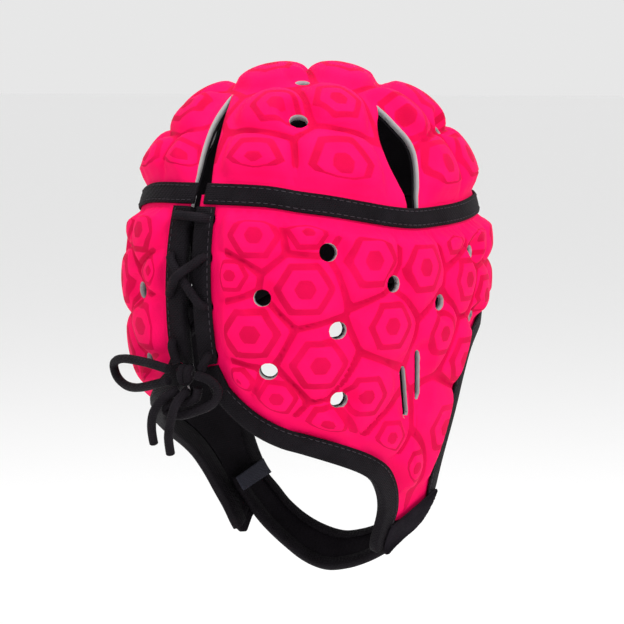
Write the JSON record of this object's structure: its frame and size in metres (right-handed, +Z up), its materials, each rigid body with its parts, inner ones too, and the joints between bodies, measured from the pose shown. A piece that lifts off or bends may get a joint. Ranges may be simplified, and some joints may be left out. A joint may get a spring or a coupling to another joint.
{
  "type": "rugby scrum cap",
  "caption": "Padded rugby scrum cap with a moulded foam crown and wrap-around sides, bound edges, a laced rear opening and a chin strap.",
  "frame": {"origin": "inner vertex of the crown, where the cap sits on the head", "axes": "+Z up, -Y toward the face opening, +Y toward the laced back, -X toward the wearer's right"},
  "size_m": [0.1794, 0.2302, 0.2847],
  "materials": {
    "pink_foam": "pink printed cloth bonded to moulded foam",
    "black_lining": "black knitted cloth",
    "black_tape": "black woven binding tape",
    "loop_pile": "black loop pile",
    "grey_webbing": "dark grey woven webbing",
    "black_cord": "black braided lace"
  },
  "bodies": {
    "root": {"crown_pad": "pink_foam", "side_pad": "pink_foam", "crown_lining": "black_lining", "side_lining": "black_lining", "head_band": "black_tape", "rear_binding_right": "black_tape", "rear_binding_left": "black_tape", "lower_binding_right": "black_tape", "lower_binding_left": "black_tape", "face_binding": "black_tape", "loop_patch": "loop_pile", "chin_strap": "black_lining", "strap_binding_rear": "black_tape", "strap_binding_front": "black_tape", "strap_tab": "grey_webbing", "lace": "black_cord", "lace_knot": "black_cord", "lace_loop_left": "black_cord", "lace_loop_right": "black_cord", "lace_tail_left": "black_cord", "lace_tail_right": "black_cord"}
  },
  "joints": []
}
